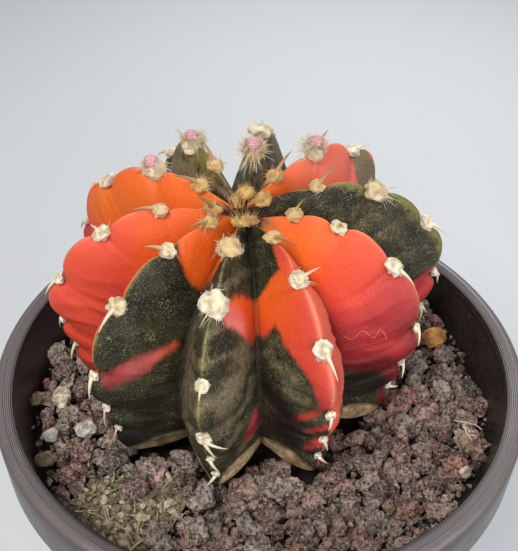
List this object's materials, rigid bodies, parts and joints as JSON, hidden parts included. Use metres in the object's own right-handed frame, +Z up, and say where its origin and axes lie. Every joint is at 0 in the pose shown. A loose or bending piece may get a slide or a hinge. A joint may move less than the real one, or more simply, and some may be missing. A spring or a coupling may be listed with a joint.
{
  "type": "potted moon cactus",
  "caption": "Potted moon cactus with variegated orange, red and dark green ribs, woolly spined areoles and pink flower buds, in a dark nursery pot dressed with lava gravel.",
  "frame": {"origin": "middle of the pot's foot ring, on the surface that the pot stands on", "axes": "+Z up along the pot's axis; the side shown in the picture faces -Y; +X to its right"},
  "size_m": [0.09, 0.09, 0.1129],
  "materials": {
    "pot": "satin",
    "potting_mix": "matte",
    "lava_gravel": "matte",
    "cactus_skin": "satin",
    "bud": "satin",
    "ochre_stone": "matte",
    "pale_stone": "matte"
  },
  "bodies": {
    "root": {"pot": "pot", "potting_mix": "potting_mix", "lava_gravel": "lava_gravel", "moon_cactus": "cactus_skin", "flower_bud_1": "bud", "flower_bud_2": "bud", "flower_bud_3": "bud", "flower_bud_4": "bud", "ochre_pebble": "ochre_stone", "white_pumice": "pale_stone", "cream_pumice": "pale_stone"}
  },
  "joints": []
}
